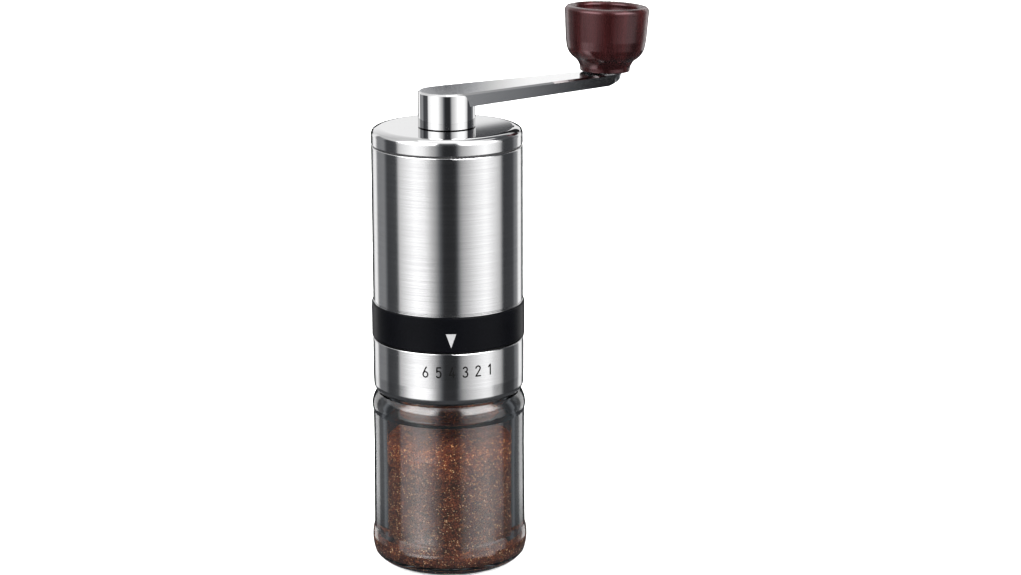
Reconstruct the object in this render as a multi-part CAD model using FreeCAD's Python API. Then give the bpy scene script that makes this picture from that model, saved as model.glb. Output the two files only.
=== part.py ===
import FreeCAD
import Part
import math
import os

# Hand crank coffee grinder.
# Units are millimetres and +Z is up. The origin is on the grinder's axis, at the foot of the glass jar.
# The pointer on the black band faces -Y, and the crank arm points to the back right.

# ---------------------------------------------------------------- driving dimensions

# steel hopper tube and everything that follows its width
TUBE_R = 26.0
TUBE_WALL = 0.7
TUBE_BORE_R = TUBE_R - TUBE_WALL
BAND_R = 26.53

# heights, from the jar's foot upwards
JAR_FLOOR_Z = 3.1
JAR_RIM_Z = 71.0
RING_BOTTOM_Z = 62.3
COLLAR_BOTTOM_Z = 63.0
COLLAR_FLANGE_Z = 72.2
NECK_BOTTOM_Z = 74.0
RING_TOP_Z = 80.9
BAND_BOTTOM_Z = 81.2
BAND_TOP_Z = 93.5
TUBE_TOP_Z = 148.4
LID_SKIRT_Z = 148.9
LID_TOP_Z = 154.5
HUB_BOTTOM_Z = 154.8
ARM_TOP_Z = 166.9

# jar thread
THREAD_LEAD = 4.0
THREAD_DEPTH = 1.0
THREAD_ROOT = 0.3
THREAD_WIDE = 1.6
THREAD_NARROW = 0.8
THREAD_START_Z = 64.3
JAR_NECK_R = 21.5
JAR_BORE_R = 22.0
COLLAR_BORE_R = 22.8

# grind adjustment
STEP_DEG = 10.0
STEP_LIFT = 0.3
SETTINGS = 6
REST_SETTING = 4
POINTER_DEG = -90.0
PIN_R = 1.5
PIN_Z = 81.0
PIN_ANGLES = (90.0, 210.0, 330.0)
PIN_PLAY = 0.15

# burrs, bearings and shaft
SHAFT_R = 3.0
SHAFT_BOTTOM_Z = 72.9
SHAFT_TOP_Z = 163.3
BUSH_R = 4.6
BUSH_PLAY = 0.05
CONE_R = 13.5
CONE_BOTTOM_Z = 76.9
CONE_TOP_Z = 89.0
BURR_GAP = 0.4
RING_BURR_R = 16.8
CARRIER_R = 18.8
CHASSIS_BORE_R = 19.0
CHASSIS_NECK_R = 21.6
HEX_SHAFT_AF = 7.0
HEX_SOCKET_AF = 7.2

# crank
HUB_R = 9.85
ARM_ANGLE = 30.7
ARM_REACH = 66.5
ARM_TIP_R = 6.0
ARM_CHAMFER = 0.6
ARM_DRAFT = 0.5
ARM_THICK_HUB = 4.9
ARM_THICK_TIP = 4.2
KNOB_LEAN = 2.1


# ---------------------------------------------------------------- helpers

def vec(x, y, z):
    return FreeCAD.Vector(x, y, z)


AXIS_Z = vec(0, 0, 1)
ORIGIN = vec(0, 0, 0)


def outline(start, *steps):
    """Closed wire in the XZ plane. A step is a corner (r, z), or an arc ((r, z) on it, (r, z) at its end)."""
    edges = []
    here = vec(start[0], 0, start[1])
    for step in steps + (start,):
        if isinstance(step[0], tuple):
            via = vec(step[0][0], 0, step[0][1])
            end = vec(step[1][0], 0, step[1][1])
            edges.append(Part.Arc(here, via, end).toShape())
        else:
            end = vec(step[0], 0, step[1])
            if end.distanceToPoint(here) > 1e-6:
                edges.append(Part.LineSegment(here, end).toShape())
        here = end
    return Part.Wire(edges)


def lathe(start, *steps):
    """Solid of revolution about Z from an outline of (radius, height) points."""
    return Part.Face(outline(start, *steps)).revolve(ORIGIN, AXIS_Z, 360)


def ring(r_in, r_out, z_low, z_high):
    """Plain tube, or a disc when r_in is 0."""
    body = Part.makeCylinder(r_out, z_high - z_low, vec(0, 0, z_low))
    if r_in > 0:
        body = body.cut(Part.makeCylinder(r_in, z_high - z_low, vec(0, 0, z_low)))
    return body


def hexagon(across_flats, z_low, z_high):
    """Upright hexagonal bar on the axis."""
    radius = across_flats / math.sqrt(3)
    turns = [math.radians(60 * i) for i in range(7)]
    corners = [vec(radius * math.cos(turn), radius * math.sin(turn), z_low) for turn in turns]
    return Part.Face(Part.makePolygon(corners)).extrude(vec(0, 0, z_high - z_low))


def turned(shape, degrees):
    """The shape turned about the grinder's axis."""
    copy = shape.copy()
    copy.rotate(ORIGIN, AXIS_Z, degrees)
    return copy


def at_angles(shape, angles):
    """One copy of the shape, made on +X, at each angle about the axis."""
    return [turned(shape, angle) for angle in angles]


def merged(first, *others):
    """One solid from touching solids."""
    return first.fuse(list(others)).removeSplitter()


def helix_sweep(radius_root, radius_tip, width_root, width_tip, z_start, turns, lead, left_handed=False):
    """Thread-like ridge on a helix that starts on +X at z_start."""
    path = Part.makeHelix(lead, lead * turns, min(radius_root, radius_tip), 0, left_handed)
    corners = [vec(radius_root, 0, -width_root / 2), vec(radius_tip, 0, -width_tip / 2),
               vec(radius_tip, 0, width_tip / 2), vec(radius_root, 0, width_root / 2)]
    profile = Part.makePolygon(corners + corners[:1])
    ridge = Part.Wire(path.Edges).makePipeShell([profile], True, True)
    ridge.translate(vec(0, 0, z_start))
    return ridge


def coil_spring(mean_r, wire_r, z_low, z_high, turns):
    """Open coil spring between two heights."""
    height = z_high - z_low - 2 * wire_r
    path = Part.makeHelix(height / turns, height, mean_r)
    profile = Part.Wire(Part.makeCircle(wire_r, vec(mean_r, 0, 0), vec(0, 1, 0)))
    coil = Part.Wire(path.Edges).makePipeShell([profile], True, True)
    coil.translate(vec(0, 0, z_low + wire_r))
    return coil


# ---------------------------------------------------------------- jar

def jar():
    """Thick glass jar: stubby foot, heel bulge, straight wall, shoulder and threaded neck."""
    body = lathe(
        (0, 1.2),
        (1.0, 1.2),
        ((9.0, 0.95), (16.2, 0.25)),
        (17.2, 0),
        (19.0, 0),
        ((23.9, 1.0), (26.3, 3.1)),
        ((27.0, 5.8), (27.17, 9.2)),
        ((27.0, 10.9), (26.55, 12.4)),
        (26.33, 42.0),
        (26.42, 54.5),
        ((26.1, 59.6), (24.9, 61.4)),
        ((23.6, 61.95), (22.3, 62.1)),
        ((21.73, 62.33), (JAR_NECK_R, 62.9)),
        (JAR_NECK_R, JAR_RIM_Z - 0.8),
        ((21.27, JAR_RIM_Z - 0.23), (20.7, JAR_RIM_Z)),
        (20.1, JAR_RIM_Z),
        ((19.53, JAR_RIM_Z - 0.23), (19.3, JAR_RIM_Z - 0.8)),
        (19.3, 61.3),
        ((21.21, 60.51), (JAR_BORE_R, 58.6)),
        (JAR_BORE_R, JAR_FLOOR_Z + 3.0),
        ((JAR_BORE_R - 0.88, JAR_FLOOR_Z + 0.88), (JAR_BORE_R - 3.0, JAR_FLOOR_Z)),
        (0, JAR_FLOOR_Z),
    )
    thread = helix_sweep(JAR_NECK_R - THREAD_ROOT, JAR_NECK_R + THREAD_DEPTH, THREAD_WIDE, THREAD_NARROW,
                         THREAD_START_Z, 1.2, THREAD_LEAD)
    return body.fuse(thread)


def jar_seal():
    """Flat silicone washer between the jar's rim and the collar."""
    return ring(19.5, 22.3, JAR_RIM_Z, COLLAR_FLANGE_Z)


# ---------------------------------------------------------------- collar and chassis

COLLAR_R = 24.3
SCREW_ANGLES = (30.0, 150.0, 270.0)
SCREW_CIRCLE_R = 20.3
SCREW_SHANK_R = 0.8
SCREW_HEAD_R = 1.7
SCREW_HEAD_DEEP = 0.9
SCREW_END_Z = 79.5


def collar_screw():
    """One countersunk screw, head down, on +X."""
    foot = vec(SCREW_CIRCLE_R, 0, COLLAR_FLANGE_Z)
    shank = Part.makeCylinder(SCREW_SHANK_R, SCREW_END_Z - COLLAR_FLANGE_Z, foot)
    head = Part.makeCone(SCREW_HEAD_R, SCREW_SHANK_R, SCREW_HEAD_DEEP, foot)
    return merged(shank, head)


def cross_slot():
    """Cross recess in the head of a collar screw on +X."""
    long_side, short_side, deep = 2.0, 0.5, 0.5
    first = Part.makeBox(long_side, short_side, deep)
    first.translate(vec(SCREW_CIRCLE_R - long_side / 2, -short_side / 2, COLLAR_FLANGE_Z))
    second = Part.makeBox(short_side, long_side, deep)
    second.translate(vec(SCREW_CIRCLE_R - short_side / 2, -long_side / 2, COLLAR_FLANGE_Z))
    return first.fuse(second)


def collar_screws():
    """Three screws that hold the collar to the chassis."""
    screw = collar_screw().cut(cross_slot())
    return Part.makeCompound(at_angles(screw, SCREW_ANGLES))


def jar_collar():
    """Female threaded skirt that the jar screws into, with the flange that carries it."""
    body = lathe(
        (COLLAR_BORE_R, COLLAR_BOTTOM_Z + 0.4),
        (COLLAR_BORE_R + 0.4, COLLAR_BOTTOM_Z),
        (COLLAR_R - 0.4, COLLAR_BOTTOM_Z),
        (COLLAR_R, COLLAR_BOTTOM_Z + 0.4),
        (COLLAR_R, NECK_BOTTOM_Z),
        (17.2, NECK_BOTTOM_Z),
        (17.2, COLLAR_FLANGE_Z),
        (COLLAR_BORE_R, COLLAR_FLANGE_Z),
    )
    # half a turn away from the jar's ridge, so that the two ridges run between each other
    thread = helix_sweep(COLLAR_BORE_R + THREAD_ROOT, COLLAR_BORE_R - THREAD_DEPTH, THREAD_WIDE, THREAD_NARROW,
                         THREAD_START_Z, 1.0, THREAD_LEAD)
    body = body.fuse(turned(thread, 180))
    for screw in at_angles(collar_screw(), SCREW_ANGLES):
        body = body.cut(screw)
    return body


SPIDER_ANGLES = (30.0, 150.0, 270.0)
BALL_CIRCLE_R = 23.4
BALL_R = 1.2
BALL_POCKET_R = 1.35
BALL_POCKET_TOP_Z = 96.0
FLANGE_Z = 91.2
CHASSIS_TOP_Z = 99.5


def chassis():
    """Central frame: slotted neck, flange inside the tube, funnel and the lower bearing spider."""
    body = lathe(
        (CHASSIS_NECK_R, NECK_BOTTOM_Z),
        (CHASSIS_NECK_R, FLANGE_Z),
        (TUBE_BORE_R, FLANGE_Z),
        (TUBE_BORE_R, CHASSIS_TOP_Z),
        (TUBE_BORE_R - 0.8, CHASSIS_TOP_Z),
        (15.5, 94.6),
        (15.5, 92.6),
        (CHASSIS_BORE_R, 92.6),
        (CHASSIS_BORE_R, NECK_BOTTOM_Z),
    )
    hub = ring(BUSH_R, 6.2, 91.2, 97.4)
    arm = Part.makeBox(11.5, 3.0, 3.4, vec(5.0, -1.5, 92.6))
    body = merged(body, hub, *at_angles(arm.cut(ring(0, BUSH_R, 92.0, 97.0)), SPIDER_ANGLES))
    for slot in at_angles(pin_slot(), PIN_ANGLES):
        body = body.cut(slot)
    for screw in at_angles(collar_screw(), SCREW_ANGLES):
        body = body.cut(screw)
    pocket = Part.makeCylinder(BALL_POCKET_R, BALL_POCKET_TOP_Z - FLANGE_Z, vec(BALL_CIRCLE_R, 0, FLANGE_Z))
    return body.cut(turned(pocket, POINTER_DEG))


def pin_slot():
    """Upright slot on +X that a cam pin rides up and down in."""
    half = PIN_R + PIN_PLAY
    low = PIN_Z - STEP_LIFT * (REST_SETTING - 1)
    high = PIN_Z + STEP_LIFT * (SETTINGS - REST_SETTING)
    long_r = 6.0
    slot = Part.makeBox(long_r, 2 * half, high - low, vec(CHASSIS_BORE_R - 2, -half, low))
    ends = [Part.makeCylinder(half, long_r, vec(CHASSIS_BORE_R - 2, 0, z), vec(1, 0, 0)) for z in (low, high)]
    return slot.fuse(ends)


def lower_bush():
    """Brass bush in the chassis spider."""
    return ring(SHAFT_R + BUSH_PLAY, BUSH_R, 91.2, 97.4)


def grip_band():
    """Black band round the joint, with a recess for the pointer mark."""
    body = lathe(
        (TUBE_BORE_R, BAND_BOTTOM_Z),
        (25.9, BAND_BOTTOM_Z),
        ((BAND_R - 0.16, BAND_BOTTOM_Z + 0.25), (BAND_R, BAND_BOTTOM_Z + 0.8)),
        (BAND_R, BAND_TOP_Z - 0.35),
        ((BAND_R - 0.1, BAND_TOP_Z - 0.1), (BAND_R - 0.35, BAND_TOP_Z)),
        (TUBE_BORE_R, BAND_TOP_Z),
    )
    return body.cut(pointer_prism())


POINTER_TOP_Z = 88.0
POINTER_TIP_Z = 83.1
POINTER_WIDTH = 3.5
POINTER_DEPTH = 0.4


def pointer_prism():
    """Triangle that points down, run through the band's front."""
    half = POINTER_WIDTH / 2
    corners = [vec(-half, -30, POINTER_TOP_Z), vec(half, -30, POINTER_TOP_Z), vec(0, -30, POINTER_TIP_Z)]
    wedge = Part.Face(Part.makePolygon(corners + corners[:1])).extrude(vec(0, 10, 0))
    return wedge.cut(ring(0, BAND_R - POINTER_DEPTH, BAND_BOTTOM_Z, BAND_TOP_Z))


def pointer_mark():
    """White inlay that fills the recess flush with the band."""
    return pointer_prism().common(ring(0, BAND_R + 0.03, BAND_BOTTOM_Z, BAND_TOP_Z))


# ---------------------------------------------------------------- grind adjustment

ADJUSTER_BORE_R = 21.9
ADJUSTER_TOP_Z = 90.9
GROOVE_END_R = 23.6


def number_ring():
    """Steel ring that is turned by hand. Its lower edge rolls inward over the jar's shoulder."""
    return lathe(
        (24.75, RING_BOTTOM_Z),
        (25.1, RING_BOTTOM_Z),
        ((25.78, 63.2), (26.1, 64.5)),
        (26.22, 68.5),
        (26.22, RING_TOP_Z - 0.5),
        ((26.12, RING_TOP_Z - 0.17), (25.8, RING_TOP_Z)),
        (TUBE_BORE_R, RING_TOP_Z),
        (TUBE_BORE_R, 64.8),
        (24.75, 63.6),
    )


def cam_groove():
    """Left-handed helical groove that meets a pin on +X at rest and falls as the angle grows."""
    margin_deg = 6.0
    low_deg = -STEP_DEG * (SETTINGS - REST_SETTING) - margin_deg
    high_deg = STEP_DEG * (REST_SETTING - 1) + margin_deg
    lead = STEP_LIFT * 360 / STEP_DEG
    turns = (high_deg - low_deg) / 360
    width = 2 * (PIN_R + PIN_PLAY)
    groove = helix_sweep(ADJUSTER_BORE_R - 1.0, GROOVE_END_R, width, width, 0, turns, lead, True)
    groove = turned(groove, high_deg)
    groove.translate(vec(0, 0, PIN_Z - STEP_LIFT * high_deg / STEP_DEG))
    return groove


def adjuster_ring():
    """Cam ring behind the number ring, with three helical grooves and six click dimples."""
    body = lathe(
        (ADJUSTER_BORE_R, NECK_BOTTOM_Z + 0.2),
        (TUBE_BORE_R, NECK_BOTTOM_Z + 0.2),
        (TUBE_BORE_R, RING_TOP_Z - 0.3),
        (24.9, RING_TOP_Z - 0.3),
        (24.9, ADJUSTER_TOP_Z),
        (ADJUSTER_BORE_R, ADJUSTER_TOP_Z),
    )
    for groove in at_angles(cam_groove(), PIN_ANGLES):
        body = body.cut(groove)
    dimple_r = 1.3
    dimple = Part.makeSphere(dimple_r, vec(BALL_CIRCLE_R, 0, ADJUSTER_TOP_Z + 1.0))
    settings = range(1, SETTINGS + 1)
    angles = [POINTER_DEG - STEP_DEG * (setting - REST_SETTING) for setting in settings]
    for cut in at_angles(dimple, angles):
        body = body.cut(cut)
    return body


def detent_ball():
    """Steel ball that clicks over the dimples, in its pocket above them."""
    ball = Part.makeSphere(BALL_R, vec(BALL_CIRCLE_R, 0, ADJUSTER_TOP_Z + 0.05 + BALL_R))
    return turned(ball, POINTER_DEG)


def detent_spring():
    """Small coil spring that presses the ball down."""
    spring_low = ADJUSTER_TOP_Z + 0.1 + 2 * BALL_R
    spring = coil_spring(0.85, 0.18, spring_low, BALL_POCKET_TOP_Z, 4)
    spring.translate(vec(BALL_CIRCLE_R, 0, 0))
    return turned(spring, POINTER_DEG)


# ---------------------------------------------------------------- burr set

CARRIER_BOTTOM_Z = 75.6
CARRIER_TOP_Z = 88.2
RING_BURR_BOTTOM_Z = 76.8
RING_BURR_TOP_Z = 87.0
CONE_KNEE_Z = 81.0
CONE_KNEE_R = 12.15
CONE_TOP_R = 6.8
INSERT_AF = 9.0
INSERT_TOP_Z = 86.0


def cam_pin():
    """Radial pin on +X from the carrier's wall into the cam groove."""
    return Part.makeCylinder(PIN_R, 23.4 - RING_BURR_R, vec(RING_BURR_R, 0, PIN_Z), vec(1, 0, 0))


def burr_carrier():
    """Cup that holds the ring burr and slides up and down in the chassis neck."""
    body = lathe(
        (15.4, CARRIER_BOTTOM_Z),
        (CARRIER_R - 0.5, CARRIER_BOTTOM_Z),
        (CARRIER_R, CARRIER_BOTTOM_Z + 0.5),
        (CARRIER_R, CARRIER_TOP_Z),
        (RING_BURR_R, CARRIER_TOP_Z),
        (RING_BURR_R, RING_BURR_BOTTOM_Z),
        (15.4, RING_BURR_BOTTOM_Z),
    )
    for pin in at_angles(cam_pin(), PIN_ANGLES):
        body = body.cut(pin)
    return body


def cam_pins():
    """Three steel pins that tie the carrier to the cam grooves."""
    clear = ring(0, RING_BURR_R, 70, 95)
    return Part.makeCompound([pin.cut(clear) for pin in at_angles(cam_pin(), PIN_ANGLES)])


def flute(radius, z_low, z_high, lean_deg, depth, taper_deg):
    """V-shaped cutter on +X, with its edge at a radius, that leans along the burr's face."""
    length = (z_high - z_low) * 1.5
    corners = [vec(-depth, 0, 0), vec(depth, depth, 0), vec(depth, -depth, 0)]
    cutter = Part.Face(Part.makePolygon(corners + corners[:1])).extrude(vec(0, 0, length))
    cutter.translate(vec(0, 0, -length / 2))
    cutter.rotate(ORIGIN, vec(1, 0, 0), lean_deg)
    cutter.rotate(ORIGIN, vec(0, 1, 0), taper_deg)
    cutter.translate(vec(radius, 0, (z_low + z_high) / 2))
    return cutter


def ring_burr():
    """Fixed ceramic burr: a fine grinding ring below and a fluted throat above."""
    body = lathe(
        (RING_BURR_R, RING_BURR_BOTTOM_Z),
        (RING_BURR_R, RING_BURR_TOP_Z),
        (15.2, RING_BURR_TOP_Z),
        (CONE_KNEE_R + BURR_GAP, CONE_KNEE_Z),
        (CONE_R + BURR_GAP + 0.1, RING_BURR_BOTTOM_Z),
    )
    teeth = 24
    cutter = flute(CONE_R + 0.3, 77.0, 82.0, 20, 0.7, 180)
    for cut in at_angles(cutter, [360 / teeth * i for i in range(teeth)]):
        body = body.cut(cut)
    return body


def burr_retainer():
    """Ring that snaps into the carrier above the ring burr."""
    return ring(15.6, RING_BURR_R, RING_BURR_TOP_Z, CARRIER_TOP_Z)


def cone_burr():
    """Ceramic cone on the shaft, narrow at the top, with slanted feed flutes."""
    body = lathe(
        (SHAFT_R, CONE_BOTTOM_Z),
        (CONE_R, CONE_BOTTOM_Z),
        (CONE_R, CONE_BOTTOM_Z + 0.3),
        (CONE_KNEE_R, CONE_KNEE_Z),
        (CONE_TOP_R, CONE_TOP_Z),
        (SHAFT_R, CONE_TOP_Z),
    )
    body = body.cut(hexagon(INSERT_AF, CONE_BOTTOM_Z, INSERT_TOP_Z))
    coarse, fine = 6, 24
    feed = flute(9.6, 82.0, 90.0, 25, 1.5, -32)
    for cut in at_angles(feed, [360 / coarse * i for i in range(coarse)]):
        body = body.cut(cut)
    tooth = flute(12.9, 77.0, 81.0, 20, 0.6, -18)
    for cut in at_angles(tooth, [360 / fine * i for i in range(fine)]):
        body = body.cut(cut)
    return body


def cone_insert():
    """Hexagonal metal core that keys the cone to the shaft."""
    return hexagon(INSERT_AF, CONE_BOTTOM_Z, INSERT_TOP_Z).cut(ring(0, SHAFT_R, 70, 95))


def burr_washer():
    """Washer under the cone burr."""
    return ring(SHAFT_R, 7.0, CONE_BOTTOM_Z - 0.9, CONE_BOTTOM_Z)


def burr_nut():
    """Hexagon nut on the shaft's lower end."""
    return hexagon(9.5, 73.4, CONE_BOTTOM_Z - 0.9).cut(ring(0, SHAFT_R, 70, 95))


def carrier_spring():
    """Wide coil spring that presses the carrier down against the cams."""
    return coil_spring(17.2, 0.45, CARRIER_TOP_Z, 92.6, 1.6)


# ---------------------------------------------------------------- shaft and its upper bearing

BRACKET_LOW_Z = 133.5
BRACKET_HIGH_Z = 139.5
CLIP_GROOVE_R = 2.4
CLIP_LOW_Z = 132.3
CLIP_HIGH_Z = 133.1


def drive_shaft():
    """Steel shaft from the nut below the cone to the hexagon that the crank fits on."""
    shaft = ring(0, SHAFT_R, SHAFT_BOTTOM_Z, 142.0)
    collar = lathe((0, 140.3), (5.0, 140.3), (5.0, 141.6), (4.6, 142.0), (0, 142.0))
    bar = turned(hexagon(HEX_SHAFT_AF, 142.0, SHAFT_TOP_Z), ARM_ANGLE)
    tip = lathe((0, 141.0), (4.5, 141.0), (4.5, SHAFT_TOP_Z - 1.0), (3.5, SHAFT_TOP_Z), (0, SHAFT_TOP_Z))
    groove = ring(CLIP_GROOVE_R, SHAFT_R + 1, CLIP_LOW_Z, CLIP_HIGH_Z)
    return merged(shaft, collar, bar.common(tip)).cut(groove)


def thrust_washer():
    """Washer between the shaft's collar and the upper bush."""
    return ring(SHAFT_R, 6.0, BRACKET_HIGH_Z + 0.05, 140.3)


def shaft_clip():
    """Open retaining clip in the shaft's groove, under the upper bush."""
    body = ring(CLIP_GROOVE_R, 5.2, CLIP_LOW_Z, CLIP_HIGH_Z)
    mouth = Part.makeBox(8, 3.2, 2, vec(0, -1.6, CLIP_LOW_Z - 0.5))
    return body.cut(mouth)


def upper_bracket():
    """Three-armed bearing bracket pressed into the tube below the lid."""
    rim = ring(23.4, TUBE_BORE_R, 134.2, 139.0)
    hub = ring(BUSH_R, 6.4, BRACKET_LOW_Z, BRACKET_HIGH_Z)
    arm = Part.makeBox(18.8, 3.4, 3.6, vec(5.2, -1.7, 134.8)).cut(ring(0, BUSH_R, 130, 145))
    return merged(rim, hub, *at_angles(arm, SPIDER_ANGLES))


def upper_bush():
    """Brass bush in the upper bracket."""
    return ring(SHAFT_R + BUSH_PLAY, BUSH_R, BRACKET_LOW_Z, BRACKET_HIGH_Z)


def tube_shell():
    """Brushed steel tube round the bean hopper, with a fine groove above its lower lip."""
    lip_top = BAND_TOP_Z + 0.6
    wall_low = BAND_TOP_Z + 0.9
    return lathe(
        (TUBE_BORE_R, BAND_TOP_Z),
        (TUBE_R - 0.15, BAND_TOP_Z),
        ((TUBE_R - 0.05, BAND_TOP_Z + 0.05), (TUBE_R, BAND_TOP_Z + 0.15)),
        (TUBE_R, lip_top - 0.1),
        (TUBE_R - 0.2, lip_top),
        (TUBE_R - 0.2, wall_low),
        ((TUBE_R - 0.06, wall_low + 0.06), (TUBE_R, wall_low + 0.2)),
        (TUBE_R, TUBE_TOP_Z - 0.5),
        ((TUBE_R - 0.15, TUBE_TOP_Z - 0.15), (TUBE_R - 0.45, TUBE_TOP_Z)),
        (TUBE_BORE_R, TUBE_TOP_Z),
    )


# ---------------------------------------------------------------- lid

LID_BORE_R = 4.9
PLUG_R = 25.0
PLUG_BOTTOM_Z = 143.4
GASKET_LOW_Z = 145.0
GASKET_HIGH_Z = 146.4
GASKET_GROOVE_R = 24.1


def lid_shell():
    """Pressed steel cap with a rounded top edge and a hole for the shaft."""
    return lathe(
        (25.2, LID_SKIRT_Z),
        (TUBE_R - 0.2, LID_SKIRT_Z),
        ((TUBE_R - 0.06, LID_SKIRT_Z + 0.06), (TUBE_R, LID_SKIRT_Z + 0.2)),
        (TUBE_R, 152.2),
        ((25.73, 153.21), (25.0, 153.95)),
        ((23.83, 154.36), (22.6, LID_TOP_Z)),
        (LID_BORE_R, LID_TOP_Z),
        (LID_BORE_R, LID_TOP_Z - 0.8),
        (24.4, LID_TOP_Z - 0.8),
        ((25.0, 153.3), (25.2, 152.5)),
    )


def lid_liner():
    """Plastic inner of the lid, with the plug that drops into the tube."""
    return lathe(
        (LID_BORE_R, LID_TOP_Z - 0.8),
        (24.4, LID_TOP_Z - 0.8),
        ((25.0, 153.3), (25.2, 152.5)),
        (25.2, LID_SKIRT_Z),
        (25.5, LID_SKIRT_Z),
        (25.5, TUBE_TOP_Z),
        (PLUG_R, TUBE_TOP_Z),
        (PLUG_R, GASKET_HIGH_Z),
        (GASKET_GROOVE_R, GASKET_HIGH_Z),
        (GASKET_GROOVE_R, GASKET_LOW_Z),
        (PLUG_R, GASKET_LOW_Z),
        (PLUG_R, PLUG_BOTTOM_Z + 0.5),
        (PLUG_R - 0.5, PLUG_BOTTOM_Z),
        (22.6, PLUG_BOTTOM_Z),
        (22.6, 151.6),
        (LID_BORE_R, 151.6),
    )


def lid_gasket():
    """Silicone ring that makes the lid's plug grip the tube."""
    return ring(GASKET_GROOVE_R, TUBE_BORE_R - 0.05, GASKET_LOW_Z, GASKET_HIGH_Z)


# ---------------------------------------------------------------- crank

def arm_plan(inset, z):
    """The arm seen from above, along +X: hub end and tip joined by tangents, drawn in by the inset."""
    hub_r, tip_r = HUB_R - inset, ARM_TIP_R - inset
    taper = math.asin((hub_r - tip_r) / ARM_REACH)
    along, across = math.sin(taper), math.cos(taper)
    hub_x, hub_y = hub_r * along, hub_r * across
    tip_x, tip_y = ARM_REACH + tip_r * along, tip_r * across
    return Part.Wire([
        Part.LineSegment(vec(hub_x, -hub_y, z), vec(tip_x, -tip_y, z)).toShape(),
        Part.Arc(vec(tip_x, -tip_y, z), vec(ARM_REACH + tip_r, 0, z), vec(tip_x, tip_y, z)).toShape(),
        Part.LineSegment(vec(tip_x, tip_y, z), vec(hub_x, hub_y, z)).toShape(),
        Part.Arc(vec(hub_x, hub_y, z), vec(-hub_r, 0, z), vec(hub_x, -hub_y, z)).toShape(),
    ])


def crank_arm():
    """Hub with a hexagon socket, and the tapered flat arm that leaves it flush with its top."""
    low = ARM_TOP_Z - ARM_THICK_HUB
    edge_z = ARM_TOP_Z - ARM_CHAMFER
    sections = [arm_plan(ARM_DRAFT, low), arm_plan(0, edge_z), arm_plan(ARM_CHAMFER, ARM_TOP_Z)]
    blade = Part.makeLoft(sections, True, True)
    tip_low = ARM_TOP_Z - ARM_THICK_TIP
    end_x = ARM_REACH + ARM_TIP_R
    side = outline(
        (-HUB_R, low),
        (end_x - 8.2, tip_low),
        ((end_x - 3.4, tip_low + 1.8), (end_x + 0.3, ARM_TOP_Z)),
        (-HUB_R, ARM_TOP_Z),
    )
    slab = Part.Face(side).extrude(vec(0, 40, 0))
    slab.translate(vec(0, -20, 0))
    hub = lathe(
        (0, HUB_BOTTOM_Z),
        (HUB_R, HUB_BOTTOM_Z),
        (HUB_R, edge_z),
        (HUB_R - ARM_CHAMFER, ARM_TOP_Z),
        (0, ARM_TOP_Z),
    )
    body = merged(hub, blade.common(slab))
    socket = hexagon(HEX_SOCKET_AF, HUB_BOTTOM_Z, SHAFT_TOP_Z + 0.2)
    screw_hole = Part.makeCylinder(2.2, 8, vec(ARM_REACH, 0, ARM_TOP_Z - 6))
    return turned(body.cut(socket).cut(screw_hole), ARM_ANGLE)


def on_arm_tip(shape):
    """A shape made on the knob's own upright axis, leaned outward and set on the arm's tip."""
    placed = shape.copy()
    placed.rotate(ORIGIN, vec(0, 1, 0), KNOB_LEAN)
    placed.translate(vec(ARM_REACH, 0, ARM_TOP_Z))
    placed.rotate(ORIGIN, AXIS_Z, ARM_ANGLE)
    return placed


KNOB_FOOT = 0.45
KNOB_TOP = 23.4
DISH_FLOOR = 16.9
KNOB_BORE_R = 3.0
PIN_SHANK_R = 1.9


def knob():
    """Turned wooden knob: narrow foot, curved shoulder, slightly flared barrel and a dished top."""
    return on_arm_tip(lathe(
        (KNOB_BORE_R, KNOB_FOOT),
        (8.5, KNOB_FOOT),
        ((8.8, KNOB_FOOT + 0.12), (8.9, KNOB_FOOT + 0.5)),
        (8.95, 1.9),
        ((9.5, 3.3), (10.5, 4.6)),
        ((12.6, 6.4), (13.8, 8.8)),
        (14.3, 11.8),
        (14.88, KNOB_TOP - 2.1),
        ((14.77, KNOB_TOP - 0.96), (14.1, KNOB_TOP - 0.2)),
        (13.4, KNOB_TOP),
        ((12.2, KNOB_TOP - 0.15), (11.5, KNOB_TOP - 1.0)),
        ((10.3, DISH_FLOOR + 1.7), (7.0, DISH_FLOOR)),
        (KNOB_BORE_R, DISH_FLOOR),
    ))


def knob_bush():
    """Brass sleeve in the knob's bore, flush with the dish's floor."""
    return on_arm_tip(ring(PIN_SHANK_R + 0.06, KNOB_BORE_R, KNOB_FOOT, DISH_FLOOR))


def knob_washer():
    """Thin washer between the knob and the arm."""
    return on_arm_tip(ring(PIN_SHANK_R, 7.0, 0.25, KNOB_FOOT - 0.05))


def knob_screw():
    """Shoulder screw through the knob, with a slotted pan head in the dish."""
    screw = lathe(
        (0, -ARM_THICK_TIP),
        (PIN_SHANK_R, -ARM_THICK_TIP),
        (PIN_SHANK_R, DISH_FLOOR + 0.1),
        (4.4, DISH_FLOOR + 0.1),
        (4.4, DISH_FLOOR + 1.0),
        ((3.4, DISH_FLOOR + 1.8), (0, DISH_FLOOR + 2.2)),
    )
    slot = Part.makeBox(10, 0.9, 2, vec(-5, -0.45, DISH_FLOOR + 1.2))
    return on_arm_tip(screw.cut(slot))


# ---------------------------------------------------------------- every sub-part, in its own file

NODES = (
    jar, jar_seal, jar_collar, collar_screws, chassis, lower_bush, grip_band, pointer_mark,
    number_ring, adjuster_ring, detent_ball, detent_spring,
    burr_carrier, cam_pins, ring_burr, burr_retainer, carrier_spring,
    cone_burr, cone_insert, burr_washer, burr_nut, drive_shaft, thrust_washer, shaft_clip,
    upper_bracket, upper_bush, tube_shell, lid_shell, lid_liner, lid_gasket,
    crank_arm, knob, knob_bush, knob_washer, knob_screw,
)

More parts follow.
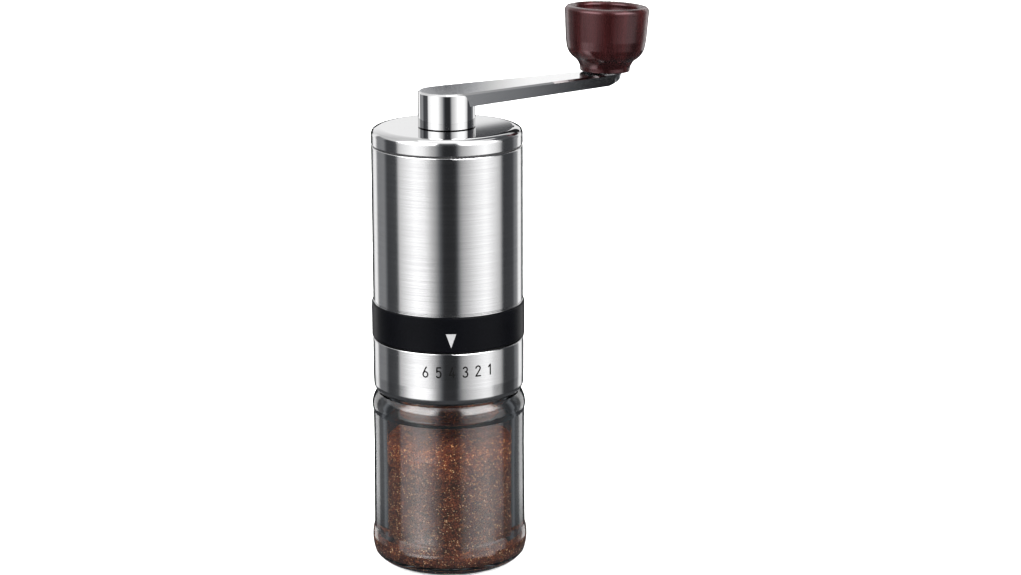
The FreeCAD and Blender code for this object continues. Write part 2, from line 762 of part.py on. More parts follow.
os.makedirs("parts", exist_ok=True)
for make in NODES:
    node = make()
    solids = len(node.Solids)
    print(f"{make.__name__:16s} solids {solids}  volume {node.Volume:10.2f}  valid {node.isValid()}")
    node.exportStep(f"parts/{make.__name__}.step")
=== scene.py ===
import math

import bmesh
import bpy
from mathutils import Matrix, Vector, noise

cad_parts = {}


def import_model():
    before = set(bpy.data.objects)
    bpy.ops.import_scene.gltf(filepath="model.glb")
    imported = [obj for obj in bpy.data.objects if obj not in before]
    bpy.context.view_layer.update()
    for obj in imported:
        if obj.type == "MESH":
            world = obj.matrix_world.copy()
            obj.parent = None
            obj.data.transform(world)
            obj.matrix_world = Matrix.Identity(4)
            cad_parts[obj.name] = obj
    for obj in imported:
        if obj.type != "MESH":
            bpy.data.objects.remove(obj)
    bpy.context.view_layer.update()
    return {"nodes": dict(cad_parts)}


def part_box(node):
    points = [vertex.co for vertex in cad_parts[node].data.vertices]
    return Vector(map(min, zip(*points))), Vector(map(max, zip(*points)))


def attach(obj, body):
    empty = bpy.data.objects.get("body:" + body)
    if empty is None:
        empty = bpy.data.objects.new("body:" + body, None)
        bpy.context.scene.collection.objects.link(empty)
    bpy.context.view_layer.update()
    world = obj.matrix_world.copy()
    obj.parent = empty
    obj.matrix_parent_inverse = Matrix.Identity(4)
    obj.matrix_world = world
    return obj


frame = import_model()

MM = 0.001
NODES = frame["nodes"]

# where the camera stands, in the part's frame
CAMERA_AT = Vector((-30.2, -899.8, 325.5)) * MM
CAMERA_PITCH = 14.21
CAMERA_TURN = -3.3
CAMERA_ROLL = -0.115
CAMERA_LENS = 94.44
CAMERA_AZIMUTH = math.degrees(math.atan2(CAMERA_AT.y, CAMERA_AT.x))

# the pointer faces this way, and one setting of the ring is this far round
FRONT = math.radians(-90.0)
STEP = math.radians(10.0)
REST_SETTING = 4
NUMERAL_Z = 74.4 * MM
NUMERAL_SHIFT = math.radians(0.5)


# ---------------------------------------------------------------- material helpers

class Paint:
    """A node material that is built up step by step."""

    def __init__(self, name, base=(0.8, 0.8, 0.8), rough=0.5, metal=0.0, **sockets):
        self.mat = bpy.data.materials.new(name)
        self.mat.use_nodes = True
        self.tree = self.mat.node_tree
        self.shader = self.tree.nodes["Principled BSDF"]
        self.set("Base Color", (*base, 1.0))
        self.set("Roughness", rough)
        self.set("Metallic", metal)
        for socket, value in sockets.items():
            self.set(socket.replace("_", " "), value)

    def set(self, socket, value):
        self.shader.inputs[socket].default_value = value

    def node(self, kind, **values):
        made = self.tree.nodes.new("ShaderNode" + kind)
        for key, value in values.items():
            if key in made.bl_rna.properties:
                setattr(made, key, value)
            else:
                made.inputs[key.replace("_", " ")].default_value = value
        return made

    def link(self, source, target):
        self.tree.links.new(source, target)

    def place(self, scale=(1, 1, 1)):
        """Object coordinates, in metres, times a scale."""
        coords = self.node("TexCoord")
        mapping = self.node("Mapping")
        mapping.inputs["Scale"].default_value = scale
        self.link(coords.outputs["Object"], mapping.inputs["Vector"])
        return mapping.outputs["Vector"]

    def noise(self, where, scale, detail=2.0, rough=0.5, distort=0.0):
        made = self.node("TexNoise", Scale=scale, Detail=detail, Roughness=rough, Distortion=distort)
        self.link(where, made.inputs["Vector"])
        return made.outputs["Fac"]

    def ramp(self, value, stops):
        """Colour ramp. Stops are (position, grey or colour)."""
        made = self.node("ValToRGB")
        band = made.color_ramp
        while len(band.elements) < len(stops):
            band.elements.new(0.5)
        for element, (position, colour) in zip(band.elements, stops):
            element.position = position
            if not hasattr(colour, "__len__"):
                colour = (colour, colour, colour)
            element.color = (*colour, 1.0)
        self.link(value, made.inputs["Fac"])
        return made.outputs["Color"]

    def remap(self, value, low, high, to_low=0.0, to_high=1.0):
        """A value's range from low to high, spread over another range."""
        made = self.node("MapRange")
        for socket, number in zip(("From Min", "From Max", "To Min", "To Max"), (low, high, to_low, to_high)):
            made.inputs[socket].default_value = number
        self.link(value, made.inputs["Value"])
        return made.outputs["Result"]

    def maths(self, operation, first, second):
        made = self.node("Math", operation=operation)
        for socket, value in zip(made.inputs, (first, second)):
            if isinstance(value, (int, float)):
                socket.default_value = value
            else:
                self.link(value, socket)
        return made.outputs["Value"]

    def mix(self, factor, first, second, blend="MIX"):
        """Colour mix. Either side may be a colour or a socket."""
        made = self.node("Mix", data_type="RGBA", blend_type=blend)
        for socket, value in ((made.inputs[0], factor), (made.inputs[6], first), (made.inputs[7], second)):
            if isinstance(value, (int, float)):
                socket.default_value = value
            elif isinstance(value, tuple):
                socket.default_value = (*value, 1.0)
            else:
                self.link(value, socket)
        return made.outputs[2]

    def bump(self, height, distance_mm, strength=1.0):
        made = self.node("Bump", Strength=strength, Distance=distance_mm * MM)
        self.link(height, made.inputs["Height"])
        before = self.shader.inputs["Normal"].links
        if before:
            self.link(before[0].from_socket, made.inputs["Normal"])
        self.link(made.outputs["Normal"], self.shader.inputs["Normal"])

    def colour(self, source):
        self.link(source, self.shader.inputs["Base Color"])

    def rough(self, source):
        self.link(source, self.shader.inputs["Roughness"])


def give(material, *names):
    """Puts a material on CAD nodes."""
    for name in names:
        mesh = NODES[name].data
        mesh.materials.clear()
        mesh.materials.append(material.mat)


# ---------------------------------------------------------------- metals

def brushed_round(name, base, rough, aniso, streak_mm):
    """Steel brushed round its axis: fine level hairlines that follow the wall."""
    steel = Paint(name, base, rough, 1.0, Anisotropic=aniso, Anisotropic_Rotation=0.25)
    radial = steel.node("Tangent", direction_type="RADIAL", axis="Z")
    steel.link(radial.outputs["Tangent"], steel.shader.inputs["Tangent"])
    fine = steel.noise(steel.place(scale=(30, 30, 1000 / streak_mm)), 1.0, 3.0, 0.7)
    hair = steel.noise(steel.place(scale=(55, 55, 2600 / streak_mm)), 1.0, 2.0, 0.5)
    lively = steel.maths("ADD", steel.maths("MULTIPLY", fine, 0.5), steel.maths("MULTIPLY", hair, 0.5))
    dark = tuple(channel * 0.9 for channel in base)
    light = tuple(min(1.0, channel * 1.06) for channel in base)
    steel.colour(steel.mix(steel.remap(lively, 0.38, 0.62), dark, light))
    steel.rough(steel.remap(fine, 0.3, 0.7, rough * 0.85, rough * 1.2))
    steel.bump(hair, 0.004, 0.4)
    return steel


def polished(name, base, rough):
    """Polished steel with faint hairline marks."""
    steel = Paint(name, base, rough, 1.0)
    hair = steel.noise(steel.place(scale=(900, 70, 900)), 1.0, 3.0, 0.6)
    steel.rough(steel.remap(hair, 0.35, 0.65, rough * 0.88, rough * 1.12))
    steel.colour(steel.mix(steel.remap(hair, 0.35, 0.65), tuple(c * 0.98 for c in base), base))
    return steel


# the lid's satin side turns into its polished top between these heights, in metres
LID_SATIN, LID_POLISH = 0.13, 0.025
LID_SATIN_Z, LID_POLISH_Z = 0.1526, 0.154


def lid_steel():
    """Mirror-like top and a satin side. The roughness by height takes the place of the even one."""
    steel = polished("lid_steel", (0.38, 0.38, 0.383), LID_POLISH)
    height = steel.node("SeparateXYZ")
    steel.link(steel.place(), height.inputs["Vector"])
    steel.rough(steel.remap(height.outputs["Z"], LID_SATIN_Z, LID_POLISH_Z, LID_SATIN, LID_POLISH))
    return steel


def machined(name, base, rough):
    """Small turned metal parts."""
    metal = Paint(name, base, rough, 1.0)
    rings = metal.noise(metal.place(scale=(300, 300, 3000)), 1.0, 2.0)
    metal.rough(metal.remap(rings, 0.3, 0.7, rough * 0.8, rough * 1.3))
    metal.colour(metal.mix(rings, tuple(c * 0.9 for c in base), base))
    metal.bump(rings, 0.01, 0.3)
    return metal


# ---------------------------------------------------------------- other materials

def moulded(name, base, rough, grain_mm=0.25, depth_mm=0.012, specular=0.5):
    """Plastic or silicone with a fine moulded grain and slight blotches."""
    plastic = Paint(name, base, rough, Specular_IOR_Level=specular)
    grain = plastic.noise(plastic.place(), 1000 / grain_mm, 2.0)
    blotch = plastic.noise(plastic.place(), 90.0, 3.0)
    pale = tuple(channel * 1.25 for channel in base)
    plastic.colour(plastic.mix(plastic.remap(blotch, 0.35, 0.65), base, pale))
    plastic.rough(plastic.remap(grain, 0.3, 0.7, rough * 0.85, rough * 1.15))
    plastic.bump(grain, depth_mm, 0.5)
    return plastic


def jar_glass():
    """Clear pressed glass with slow waves in the wall."""
    glass = Paint("jar_glass", (0.93, 0.965, 0.97), 0.0, Transmission_Weight=1.0, IOR=1.5)
    waves = glass.noise(glass.place(scale=(60, 60, 25)), 1.0, 1.0)
    glass.bump(waves, 0.2, 0.2)
    return glass


def foot_glass_painted_shade():
    """Opaque dark greenish colour on the knurled foot's glass ridges: painted shade for the light trapped in
    the thick glass.
    """
    glass = Paint("foot_glass_painted_shade", (0.03, 0.04, 0.036), 0.12)
    streaks = glass.noise(glass.place(), 900.0, 2.0)
    cover = glass.remap(streaks, 0.35, 0.65)
    # painted shade: streaks run from near black to dark green-grey instead of clear glass
    glass.colour(glass.mix(cover, (0.008, 0.012, 0.01), (0.07, 0.09, 0.08)))
    return glass


def ceramic():
    """Unglazed white ceramic."""
    clay = Paint("burr_ceramic", (0.86, 0.85, 0.81), 0.55)
    speck = clay.noise(clay.place(), 2500.0, 3.0)
    clay.colour(clay.mix(clay.remap(speck, 0.4, 0.7), (0.8, 0.79, 0.75), (0.9, 0.89, 0.86)))
    clay.bump(speck, 0.02, 0.6)
    return clay


def knob_wood():
    """Dark red-brown wood under clear lacquer, with upright grain and darker veins."""
    wood = Paint("knob_wood", (0.03, 0.007, 0.006), 0.36, Specular_IOR_Level=0.27,
                 Specular_Tint=(1.0, 0.5, 0.55, 1.0), Coat_Weight=0.1, Coat_Roughness=0.1)
    grain = wood.noise(wood.place(scale=(300, 300, 26)), 1.0, 4.0, 0.6, 0.4)
    veins = wood.noise(wood.place(scale=(120, 120, 16)), 1.0, 3.0, 0.6, 0.8)
    pores = wood.noise(wood.place(scale=(1800, 1800, 120)), 1.0, 2.0)
    tone = wood.ramp(veins, [(0.34, (0.007, 0.0016, 0.0016)), (0.55, (0.016, 0.0030, 0.0030)),
                             (0.66, (0.030, 0.0040, 0.0042)), (0.74, (0.090, 0.0070, 0.0090))])
    fine = wood.mix(wood.remap(grain, 0.35, 0.65), (0.65, 0.65, 0.65), (1.2, 1.15, 1.15))
    wood.colour(wood.mix(1.0, tone, fine, "MULTIPLY"))
    wood.rough(wood.remap(pores, 0.35, 0.65, 0.22, 0.3))
    wood.bump(pores, 0.01, 0.2)
    wood.bump(grain, 0.03, 0.2)
    return wood


# heights in metres between which the coffee grows warmer towards its top, and then darkens with painted shade
# under the shoulder, where little light reaches its top
COFFEE_WARM_Z = (0.034, 0.045)
COFFEE_PAINTED_SHADE_Z = (0.0442, 0.0470)


def coffee():
    """Ground coffee: brown grains with lighter chaff; the brightest grains are painted glints."""
    powder = Paint("ground_coffee", (0.06, 0.02, 0.01), 0.85)
    grain = powder.node("TexVoronoi", Scale=3400.0, Randomness=1.0)
    powder.link(powder.place(), grain.inputs["Vector"])
    shade = powder.node("SeparateColor")
    powder.link(grain.outputs["Color"], shade.inputs["Color"])
    # the last, brightest stop of the grain ramp paints glints on single grains
    brown = powder.ramp(shade.outputs["Red"], [(0.0, (0.018, 0.0036, 0.0014)), (0.45, (0.062, 0.015, 0.0065)),
                                               (0.8, (0.13, 0.034, 0.014)), (0.95, (0.24, 0.07, 0.028)),
                                               (1.0, (0.7, 0.44, 0.24))])
    clumps = powder.noise(powder.place(), 260.0, 4.0, 0.7)
    height = powder.node("SeparateXYZ")
    powder.link(powder.place(), height.inputs["Vector"])
    # the second tint is painted shade: it darkens the coffee's top under the shoulder
    for heights, tint in ((COFFEE_WARM_Z, (1.9, 1.6, 1.2)), (COFFEE_PAINTED_SHADE_Z, (0.6, 0.5, 0.45))):
        reached = powder.remap(height.outputs["Z"], *heights)
        brown = powder.mix(1.0, brown, powder.mix(reached, (1.0, 1.0, 1.0), tint), "MULTIPLY")
    powder.colour(powder.mix(1.0, brown, powder.ramp(clumps, [(0.3, 0.6), (0.7, 1.3)]), "MULTIPLY"))
    powder.bump(grain.outputs["Distance"], 0.25, 0.8)
    powder.bump(clumps, 0.5, 0.5)
    return powder


def ink(name, base, rough):
    """Printed mark with slightly uneven cover."""
    paint = Paint(name, base, rough, Specular_IOR_Level=0.03)
    cover = paint.noise(paint.place(), 3000.0, 2.0)
    paint.colour(paint.mix(cover, base, tuple(c * 2.0 for c in base)))
    return paint


def dress_nodes():
    """Every CAD node gets its material."""
    give(brushed_round("tube_steel", (0.37, 0.37, 0.373), 0.16, 0.7, 0.3), "tube_shell")
    give(brushed_round("ring_steel", (0.36, 0.36, 0.363), 0.16, 0.7, 0.28), "number_ring")
    give(lid_steel(), "lid_shell")
    give(polished("arm_steel", (0.48, 0.48, 0.482), 0.045), "crank_arm")
    give(knob_wood(), "knob")
    give(jar_glass(), "jar")
    give(moulded("band_plastic", (0.0012, 0.0013, 0.0018), 0.32, 0.4, 0.003, 0.03), "grip_band")
    give(moulded("pointer_white", (0.16, 0.16, 0.162), 0.5, specular=0.1), "pointer_mark")
    give(moulded("black_plastic", (0.012, 0.012, 0.013), 0.45), "jar_collar", "chassis", "upper_bracket",
         "adjuster_ring", "burr_carrier", "lid_liner", "burr_retainer")
    give(moulded("silicone", (0.42, 0.42, 0.405), 0.5), "jar_seal", "lid_gasket")
    give(ceramic(), "ring_burr", "cone_burr")
    give(machined("brass", (0.78, 0.58, 0.28), 0.25), "lower_bush", "upper_bush", "knob_bush")
    give(machined("plain_steel", (0.6, 0.6, 0.61), 0.22), "cone_insert", "burr_washer", "burr_nut",
         "drive_shaft", "thrust_washer", "shaft_clip", "detent_ball", "detent_spring", "carrier_spring",
         "cam_pins", "collar_screws", "knob_screw", "knob_washer")


# ---------------------------------------------------------------- pieces

def new_piece(name, build, material, body):
    """A mesh object from a bmesh, on a body and in a material slot of the record."""
    mesh = bpy.data.meshes.new(name)
    build.to_mesh(mesh)
    build.free()
    piece = bpy.data.objects.new(name, mesh)
    bpy.context.scene.collection.objects.link(piece)
    mesh.materials.append(material.mat)
    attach(piece, body)


def arc(middle, wide, tall, start, end, count=18):
    """Points along part of an ellipse, between two angles in degrees."""
    turns = [math.radians(start + (end - start) * i / count) for i in range(count + 1)]
    return [(middle[0] + wide * math.cos(turn), middle[1] + tall * math.sin(turn)) for turn in turns]


# pen strokes of the digits in millimetres, about the middle of each digit; half the pen's width; and how far
# the ink stands off the ring
DIGITS = {
    1: ([(-0.5, 1.05), (0.15, 1.75), (0.15, -1.75)],),
    2: (arc((0, 0.95), 0.78, 0.8, 170, -25) + [(-0.8, -1.73), (0.85, -1.73)],),
    3: (arc((-0.02, 0.93), 0.7, 0.82, 150, -90), arc((-0.02, -0.82), 0.84, 0.93, 90, -150)),
    4: ([(0.2, 1.75), (-0.85, -0.9), (0.9, -0.9)], [(0.42, 0.15), (0.42, -1.75)]),
    5: ([(0.72, 1.73), (-0.52, 1.73), (-0.62, 0.12)], arc((-0.05, -0.62), 0.84, 1.13, 128, -140)),
    6: ([(0.3, 1.78), (-0.72, -0.35)], arc((0, -0.82), 0.84, 0.93, 0, 360, 32)),
}
PEN = 0.25
INK_LIFT = 0.02


def stroke(build, points):
    """Flat ribbon of the pen's width along a line of points, with a round dot at every point."""
    for (x0, y0), (x1, y1) in zip(points, points[1:]):
        length = math.hypot(x1 - x0, y1 - y0)
        off_x, off_y = -(y1 - y0) / length * PEN, (x1 - x0) / length * PEN
        corners = ((x0 + off_x, y0 + off_y), (x0 - off_x, y0 - off_y),
                   (x1 - off_x, y1 - off_y), (x1 + off_x, y1 + off_y))
        build.faces.new([build.verts.new((x, y, 0)) for x, y in corners])
    for x, y in (points[0], points[-1], *points[1:-1]):
        dot = [build.verts.new((x + px, y + py, 0)) for px, py in arc((0, 0), PEN, PEN, 0, 330, 11)]
        build.faces.new(dot)


def numerals():
    """The six setting numbers, printed round the ring with 4 under the pointer."""
    black = ink("numeral_ink", (0.002, 0.002, 0.002), 0.6)
    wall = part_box("number_ring")[1].x
    for setting, strokes in DIGITS.items():
        build = bmesh.new()
        for points in strokes:
            stroke(build, points)
        angle = FRONT + NUMERAL_SHIFT - STEP * (setting - REST_SETTING)
        for vert in build.verts:
            around = angle + vert.co.x * MM / wall
            radius = wall + INK_LIFT * MM
            height = NUMERAL_Z + vert.co.y * MM
            vert.co = Vector((radius * math.cos(around), radius * math.sin(around), height))
        for face in build.faces:
            face.normal_update()
            if face.normal.dot(face.calc_center_median() * Vector((1, 1, 0))) < 0:
                face.normal_flip()
        new_piece(f"numeral_{setting}", build, black, "adjuster")


# the coffee's outline against the glass, (radius, height) in millimetres, from its middle underneath
COFFEE_SIDE = (
    (0.0, 3.15), (9.0, 3.12), (18.9, 3.05), (20.54, 3.42), (21.7, 4.56), (22.12, 6.1), (22.1, 8.2),
    (21.85, 9.8), (21.85, 20.0), (21.85, 30.0), (21.85, 45.2),
)
COFFEE_HEAP = 2.6
# the mesh: points round each row, rows of the heap, and the height of a row of the side in millimetres
COFFEE_SPOKES, COFFEE_RINGS, COFFEE_ROW = 220, 44, 0.45
# unevenness: how fine it is, per metre, and how many millimetres it moves a point
LUMPS, LUMP_SIZE = 180, 0.7
CRUMBS, CRUMB_SIZE = 600, 0.4
GAPS, GAP_SIZE, GAP_FROM = 900, 0.25, 0.1
# the side lies tight against the glass up to this height, and is loose a little further up
TIGHT_UP_TO, LOOSE_AFTER = 8.0, 3.0


def grounds():
    """Ground coffee in the jar: it fills the heel and has a soft, uneven top."""
    rows = []
    for (r0, z0), (r1, z1) in zip(COFFEE_SIDE[1:], COFFEE_SIDE[2:]):
        parts = max(1, round(math.hypot(r1 - r0, z1 - z0) / COFFEE_ROW))
        rows += [(r0 + (r1 - r0) * i / parts, z0 + (z1 - z0) * i / parts, False) for i in range(parts)]
    wall, level = COFFEE_SIDE[-1]
    for ring in range(COFFEE_RINGS):
        radius = wall * (1 - ring / COFFEE_RINGS)
        rows.append((radius, level + COFFEE_HEAP * (1 - (radius / wall) ** 2), True))
    build = bmesh.new()
    lines = []
    for radius, height, on_top in rows:
        line = []
        for spoke in range(COFFEE_SPOKES):
            angle = 2 * math.pi * spoke / COFFEE_SPOKES
            out = Vector((math.cos(angle), math.sin(angle), 0))
            point = (out * radius + Vector((0, 0, height))) * MM
            if on_top:
                lumps = noise.noise(point * LUMPS) * LUMP_SIZE
                point.z += (lumps + noise.noise(point * CRUMBS) * CRUMB_SIZE) * MM
            else:
                loose = min(1.0, max(0.0, (height - TIGHT_UP_TO) / LOOSE_AFTER))
                point += out * min(0.0, noise.noise(point * GAPS) - GAP_FROM) * GAP_SIZE * loose * MM
            line.append(build.verts.new(point))
        lines.append(line)
    base = build.verts.new(Vector((0, 0, COFFEE_SIDE[0][1])) * MM)
    peak = build.verts.new(Vector((0, 0, level + COFFEE_HEAP)) * MM)
    for lower, upper in zip(lines, lines[1:]):
        for spoke in range(COFFEE_SPOKES):
            after = (spoke + 1) % COFFEE_SPOKES
            build.faces.new((lower[spoke], lower[after], upper[after], upper[spoke]))
    for spoke in range(COFFEE_SPOKES):
        after = (spoke + 1) % COFFEE_SPOKES
        build.faces.new((lines[-1][spoke], lines[-1][after], peak))
        build.faces.new((lines[0][after], lines[0][spoke], base))
    for face in build.faces:
        face.smooth = True
    new_piece("ground_coffee", build, coffee(), "jar")


# the jar's knurled foot, in millimetres: its ridges slope up outwards
KNURL_RIDGES = 84
KNURL_INNER, KNURL_OUTER = 17.3, 20.6
KNURL_LOW, KNURL_HIGH = 0.02, 0.5
KNURL_RISE = 0.35
# share of the pitch that a ridge takes, and how much a ridge's width and height vary
KNURL_SHARE, KNURL_VARIES = 0.62, 0.12


def foot_knurl():
    """Small pressed ridges round the jar's contact ring."""
    build = bmesh.new()
    for ridge in range(KNURL_RIDGES):
        middle = 2 * math.pi * ridge / KNURL_RIDGES
        lopsided = KNURL_VARIES * math.sin(ridge * 2.4)
        half = math.pi / KNURL_RIDGES * (KNURL_SHARE + lopsided)
        edges = []
        for radius, turn, rise in ((KNURL_INNER, -half, 0.0), (KNURL_OUTER, -half, KNURL_RISE),
                                   (KNURL_OUTER, half, KNURL_RISE), (KNURL_INNER, half, 0.0)):
            x, y = radius * math.cos(middle + turn) * MM, radius * math.sin(middle + turn) * MM
            heights = (KNURL_LOW + rise, KNURL_HIGH + lopsided + rise)
            edges.append([build.verts.new((x, y, height * MM)) for height in heights])
        for first, second in zip(edges, edges[1:] + edges[:1]):
            build.faces.new((first[0], second[0], second[1], first[1]))
        build.faces.new([low for low, high in reversed(edges)])
        build.faces.new([high for low, high in edges])
    bmesh.ops.recalc_face_normals(build, faces=build.faces)
    new_piece("foot_knurl", build, foot_glass_painted_shade(), "jar")


# ---------------------------------------------------------------- stage, light and camera

# studio panels level with the object: degrees to the right of the camera, and brightness
PANELS = (
    (-180, 0.05), (-155, 0.06), (-149, 1.70), (-138, 1.90), (-132, 0.45), (-112, 0.55),
    (-104, 0.12), (-83, 0.14), (-78, 1.60), (-50, 2.75), (-36, 2.30), (-24, 1.20), (-17, 0.75), (-12, 0.26),
    (-6, 0.05), (12, 0.05), (15, 0.16), (18, 0.60), (22, 1.00), (32, 1.45), (46, 2.20), (60, 2.75),
    (78, 1.95), (87, 1.30), (93, 0.10), (118, 0.14), (124, 0.45), (132, 0.52), (138, 1.90), (149, 1.70),
    (155, 0.06), (180, 0.05),
)
# the same panels as the clear glass shows them, with black cards behind it that outline its walls
CARDS = (
    (-180, 0.012), (-168, 0.03), (-156, 0.045), (-147, 0.02), (-139, 0.025), (-134, 0.12),
    (-128, 0.08), (-122, 0.025), (-84, 0.03), (-72, 0.5), (-50, 1.3), (-36, 0.9), (-22, 0.25),
    (-10, 0.015), (10, 0.015), (20, 0.15), (34, 0.5), (50, 0.8), (64, 0.6), (78, 0.25), (86, 0.03),
    (122, 0.025), (128, 0.08), (134, 0.12), (139, 0.025), (147, 0.02), (156, 0.045), (168, 0.03),
    (180, 0.012),
)
# large soft boxes above the camera, to its left and right
SOFT_BOXES = (
    (-180, 1.4), (-120, 1.3), (-90, 1.6), (-72, 13.0), (-30, 13.0), (-16, 0.5), (-10, 0.15),
    (12, 0.15), (18, 0.5), (32, 13.0), (74, 13.0), (90, 1.6), (98, 0.2), (150, 0.15), (168, 0.25),
    (174, 1.4), (180, 1.4),
)
# a strip of panels low in the room: bright on both sides of the camera, dim behind, and darkest to the right
LOW_PANELS = (
    (-180, 0.06), (-100, 0.06), (-76, 0.20), (-62, 3.40), (-48, 5.00), (-30, 4.60), (-18, 1.20),
    (-8, 0.06), (12, 0.06), (22, 0.90), (36, 1.90), (56, 2.80), (70, 2.40), (73.6, 0.50),
    (74.4, 0.46), (75.6, 0.38), (76.3, 0.20), (77, 0.05), (77.6, 0.012), (100, 0.012), (140, 0.05),
    (180, 0.06),
)
BACK_WALL = 1.4
CEILING = 1.8
UNDER = 0.12
OVER_CARDS = 0.12
# the front panels are this much brighter a little above eye level
TALLER_GAIN = 0.6

# where parts of the room begin or end, from and to, as the sine of the elevation
BACK_WALL_Z = (0.11, 0.15)
TALLER_FROM_Z = (0.09, 0.14)
TALLER_TO_Z = (0.2, 0.24)
SOFT_BOXES_Z = (0.28, 0.46)
CEILING_Z = (0.7, 0.95)
CARDS_TO_Z = (0.2, 0.3)
# the same, downwards
LOW_PANELS_DOWN = (0.31, 0.335)
UNDER_DOWN = (0.36, 0.45)
# and as a share of a full turn away from the camera's side
TALLER_TO_SIDE = (0.24, 0.28)
BACK_WALL_SIDE = (0.38, 0.43)

# two narrow cards behind the object: edges by bearing, tops by height, and how much light they take
CARD_SIDE, CARD_TO_Z, CARD_TAKES = (0.4945, 0.5002), (0.1765, 0.1815), 0.86
WEDGE_SIDE, WEDGE_TO_Z, WEDGE_TAKES = (0.99, 0.991), (0.196, 0.203), 0.93
# the slanted edge of the second card: its height less its bearing
WEDGE_SLANT = (-0.8118, -0.8106)


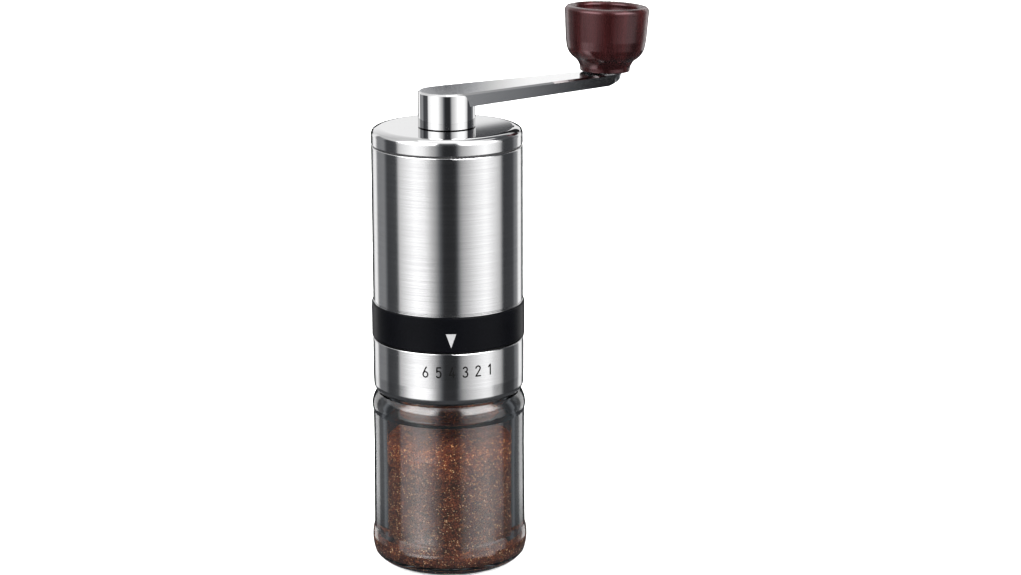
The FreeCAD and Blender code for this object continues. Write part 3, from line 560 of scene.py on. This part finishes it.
def world():
    """Soft studio round the object: tall panels with dark gaps, soft boxes, a pale back wall and ceiling."""
    studio = bpy.data.worlds.new("studio")
    bpy.context.scene.world = studio
    studio.use_nodes = True
    tree = studio.node_tree
    tree.nodes.clear()

    def node(kind, **values):
        made = tree.nodes.new("ShaderNode" + kind)
        for key, value in values.items():
            setattr(made, key, value)
        return made

    def wire(value, socket):
        if isinstance(value, (int, float)):
            socket.default_value = value
        else:
            tree.links.new(value, socket)

    def maths(operation, first, second=0.0, third=0.0):
        made = node("Math", operation=operation)
        for value, socket in zip((first, second, third), made.inputs):
            wire(value, socket)
        return made.outputs["Value"]

    def smooth(value, low, high):
        made = node("MapRange", interpolation_type="SMOOTHSTEP")
        wire(value, made.inputs["Value"])
        made.inputs["From Min"].default_value = low
        made.inputs["From Max"].default_value = high
        return made.outputs["Result"]

    def times(first, second):
        return maths("MULTIPLY", first, second)

    def rest_of(value):
        return maths("SUBTRACT", 1.0, value)

    def blend(factor, first, second):
        return maths("ADD", times(first, rest_of(factor)), times(second, factor))

    def round_the_room(stops):
        """Brightness by bearing, from stops in degrees."""
        ramp = node("ValToRGB")
        band = ramp.color_ramp
        while len(band.elements) < len(stops):
            band.elements.new(0.5)
        brightest = max(value for angle, value in stops)
        for element, (angle, value) in zip(band.elements, stops):
            element.position = angle / 360 + 0.5
            grey = value / brightest
            element.color = (grey, grey, grey, 1.0)
        tree.links.new(position, ramp.inputs["Fac"])
        return times(ramp.outputs["Color"], brightest)

    split = node("SeparateXYZ")
    tree.links.new(node("TexCoord").outputs["Generated"], split.inputs["Vector"])
    x, y, z = (split.outputs[axis] for axis in "XYZ")
    turned = maths("SUBTRACT", maths("ARCTAN2", y, x), math.radians(CAMERA_AZIMUTH))
    wrapped = maths("WRAP", turned, math.pi, -math.pi)
    position = maths("MULTIPLY_ADD", wrapped, 1 / (2 * math.pi), 0.5)
    off_axis = maths("ABSOLUTE", maths("SUBTRACT", position, 0.5))
    down = maths("MULTIPLY", z, -1.0)
    # a narrow grey card stands behind the object and shades the end of the wall
    card = times(smooth(off_axis, *CARD_SIDE), rest_of(smooth(z, *CARD_TO_Z)))
    # a second, thin card leans beside it and draws a dark wedge on the lid
    wedge = times(smooth(position, *WEDGE_SIDE), rest_of(smooth(z, *WEDGE_TO_Z)))
    wedge = times(wedge, smooth(maths("SUBTRACT", z, position), *WEDGE_SLANT))
    shade = maths("MAXIMUM", times(card, CARD_TAKES), times(wedge, WEDGE_TAKES))
    wall = times(BACK_WALL, rest_of(shade))
    behind = times(smooth(off_axis, *BACK_WALL_SIDE), smooth(z, *BACK_WALL_Z))
    taller = times(smooth(z, *TALLER_FROM_Z), rest_of(smooth(off_axis, *TALLER_TO_SIDE)))
    taller = times(taller, rest_of(smooth(z, *TALLER_TO_Z)))
    panels = times(round_the_room(PANELS), maths("MULTIPLY_ADD", taller, TALLER_GAIN, 1.0))
    walls = blend(behind, panels, wall)
    boxes = blend(smooth(z, *SOFT_BOXES_Z), walls, round_the_room(SOFT_BOXES))
    high = blend(smooth(z, *CEILING_Z), boxes, CEILING)
    low = blend(smooth(down, *LOW_PANELS_DOWN), high, round_the_room(LOW_PANELS))
    room = blend(smooth(down, *UNDER_DOWN), low, UNDER)
    # light that comes straight through the glass sees the cards instead
    path = node("LightPath")
    direct = maths("LESS_THAN", path.outputs["Diffuse Depth"], 0.5)
    through_glass = times(path.outputs["Is Transmission Ray"], direct)
    cards = blend(smooth(z, *CARDS_TO_Z), round_the_room(CARDS), OVER_CARDS)
    level = blend(through_glass, room, cards)
    light = node("Background")
    tree.links.new(level, light.inputs["Strength"])
    # dim light is slightly blue
    tint = node("ValToRGB")
    cool, neutral = tint.color_ramp.elements
    cool.position, cool.color = 0.05, (0.95, 0.99, 1.07, 1.0)
    neutral.position, neutral.color = 0.8, (1.0, 1.0, 1.0, 1.0)
    tree.links.new(level, tint.inputs["Fac"])
    tree.links.new(tint.outputs["Color"], light.inputs["Color"])
    tree.links.new(light.outputs["Background"], node("OutputWorld").inputs["Surface"])


def floor():
    """Pale floor that the polished parts and the glass don't mirror."""
    build = bmesh.new()
    half = 4.0
    corners = [build.verts.new((x * half, y * half, 0)) for x, y in ((-1, -1), (1, -1), (1, 1), (-1, 1))]
    build.faces.new(corners)
    mesh = bpy.data.meshes.new("floor")
    build.to_mesh(mesh)
    build.free()
    plane = bpy.data.objects.new("floor", mesh)
    bpy.context.scene.collection.objects.link(plane)
    pale = Paint("floor_pale", (0.93, 0.93, 0.93), 0.9)
    tint = pale.noise(pale.place(), 3.0, 2.0)
    pale.colour(pale.mix(tint, (0.925, 0.925, 0.925), (0.935, 0.935, 0.935)))
    mesh.materials.append(pale.mat)
    plane.visible_glossy = False
    plane.visible_transmission = False


def soft_light(name, at, aim, size, watts):
    """One softbox, aimed at a point."""
    lamp = bpy.data.lights.new(name, "AREA")
    lamp.shape = "RECTANGLE"
    lamp.size, lamp.size_y = size
    lamp.energy = watts
    holder = bpy.data.objects.new(name, lamp)
    bpy.context.scene.collection.objects.link(holder)
    holder.location = at
    holder.rotation_euler = (Vector(aim) - Vector(at)).to_track_quat("-Z", "Y").to_euler()


def camera():
    """The photograph's viewpoint."""
    lens = bpy.data.cameras.new("camera")
    lens.sensor_width = 36.0
    lens.lens = CAMERA_LENS
    lens.clip_start = 0.01
    holder = bpy.data.objects.new("camera", lens)
    bpy.context.scene.collection.objects.link(holder)
    aim = Matrix.Rotation(math.radians(CAMERA_TURN), 4, "Z")
    tilt = Matrix.Rotation(math.radians(90 - CAMERA_PITCH), 4, "X")
    roll = Matrix.Rotation(math.radians(CAMERA_ROLL), 4, "Z")
    holder.matrix_world = Matrix.Translation(CAMERA_AT) @ aim @ tilt @ roll
    bpy.context.scene.camera = holder


dress_nodes()
numerals()
grounds()
foot_knurl()
world()
floor()
soft_light("overhead", (0.1, 0.25, 1.3), (0, 0, 0.08), (1.0, 1.0), 3.0)
camera()
bpy.context.scene.view_settings.view_transform = "Standard"
